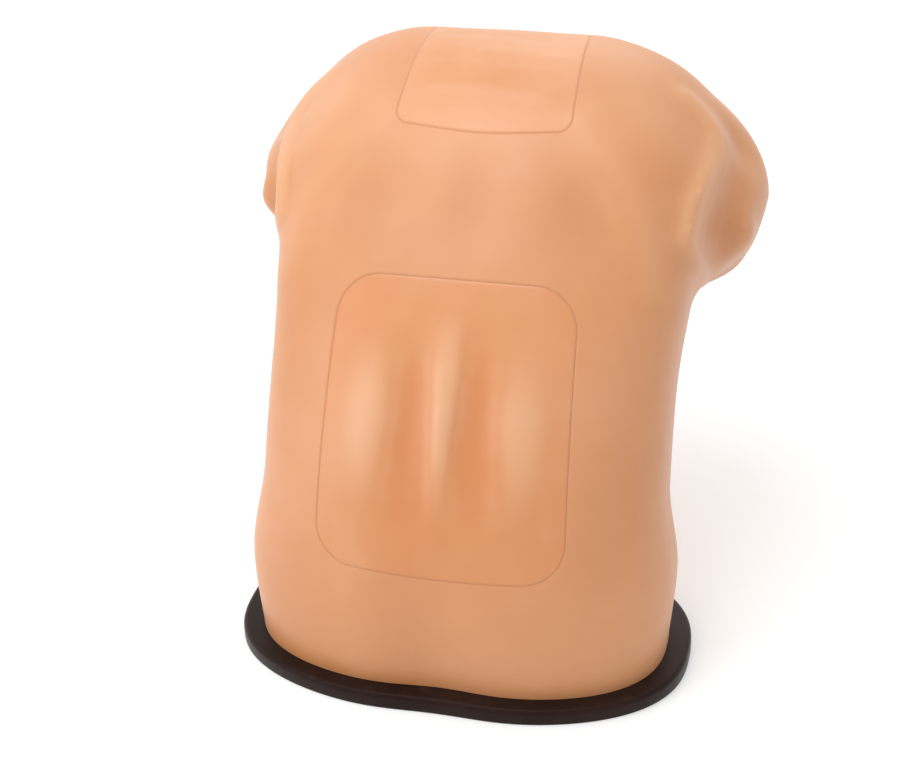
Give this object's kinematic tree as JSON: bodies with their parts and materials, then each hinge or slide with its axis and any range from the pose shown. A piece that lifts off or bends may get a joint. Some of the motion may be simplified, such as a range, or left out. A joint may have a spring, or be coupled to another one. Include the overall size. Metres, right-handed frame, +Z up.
{
  "type": "lumbar puncture ultrasound trainer",
  "caption": "Forward-leaning back torso with a lumbar and an upper back tissue insert over embedded vertebrae, on a dark base plate, for needle practice under ultrasound.",
  "frame": {"origin": "on the ground, in the middle of the body's foot section, under the base plate", "axes": "+Z up; +X across, to the right seen from behind the back; +Y forward, the way the torso leans; the back faces -Y"},
  "size_m": [0.4739, 0.4754, 0.4979],
  "materials": {
    "skin_shell": "satin moulded skin-toned plastic",
    "tissue": "soft satin skin-toned elastomer",
    "dark_plate": "dark brown moulded plastic",
    "tray_plastic": "plain formed plastic",
    "bone": "matte cast resin",
    "disc": "matte elastomer",
    "ligament": "matte elastomer",
    "sac": "fluid-filled elastomer",
    "screw_steel": "zinc-plated steel"
  },
  "bodies": {
    "root": {"torso_shell": "skin_shell", "base_plate": "dark_plate", "base_screws": "screw_steel", "lumbar_tray": "tray_plastic", "upper_tray": "tray_plastic", "lumbar_tissue": "tissue", "upper_tissue": "tissue", "vertebra_l1": "bone", "vertebra_l2": "bone", "vertebra_l3": "bone", "vertebra_l4": "bone", "vertebra_l5": "bone", "sacrum": "bone", "disc_l1_l2": "disc", "disc_l2_l3": "disc", "disc_l3_l4": "disc", "disc_l4_l5": "disc", "disc_l5_s1": "disc", "lumbar_ligament": "ligament", "lumbar_dural_sac": "sac", "vertebra_t1": "bone", "vertebra_t2": "bone", "vertebra_t3": "bone", "vertebra_t4": "bone", "disc_t1_t2": "disc", "disc_t2_t3": "disc", "disc_t3_t4": "disc", "upper_ligament": "ligament", "upper_dural_sac": "sac"}
  },
  "joints": []
}
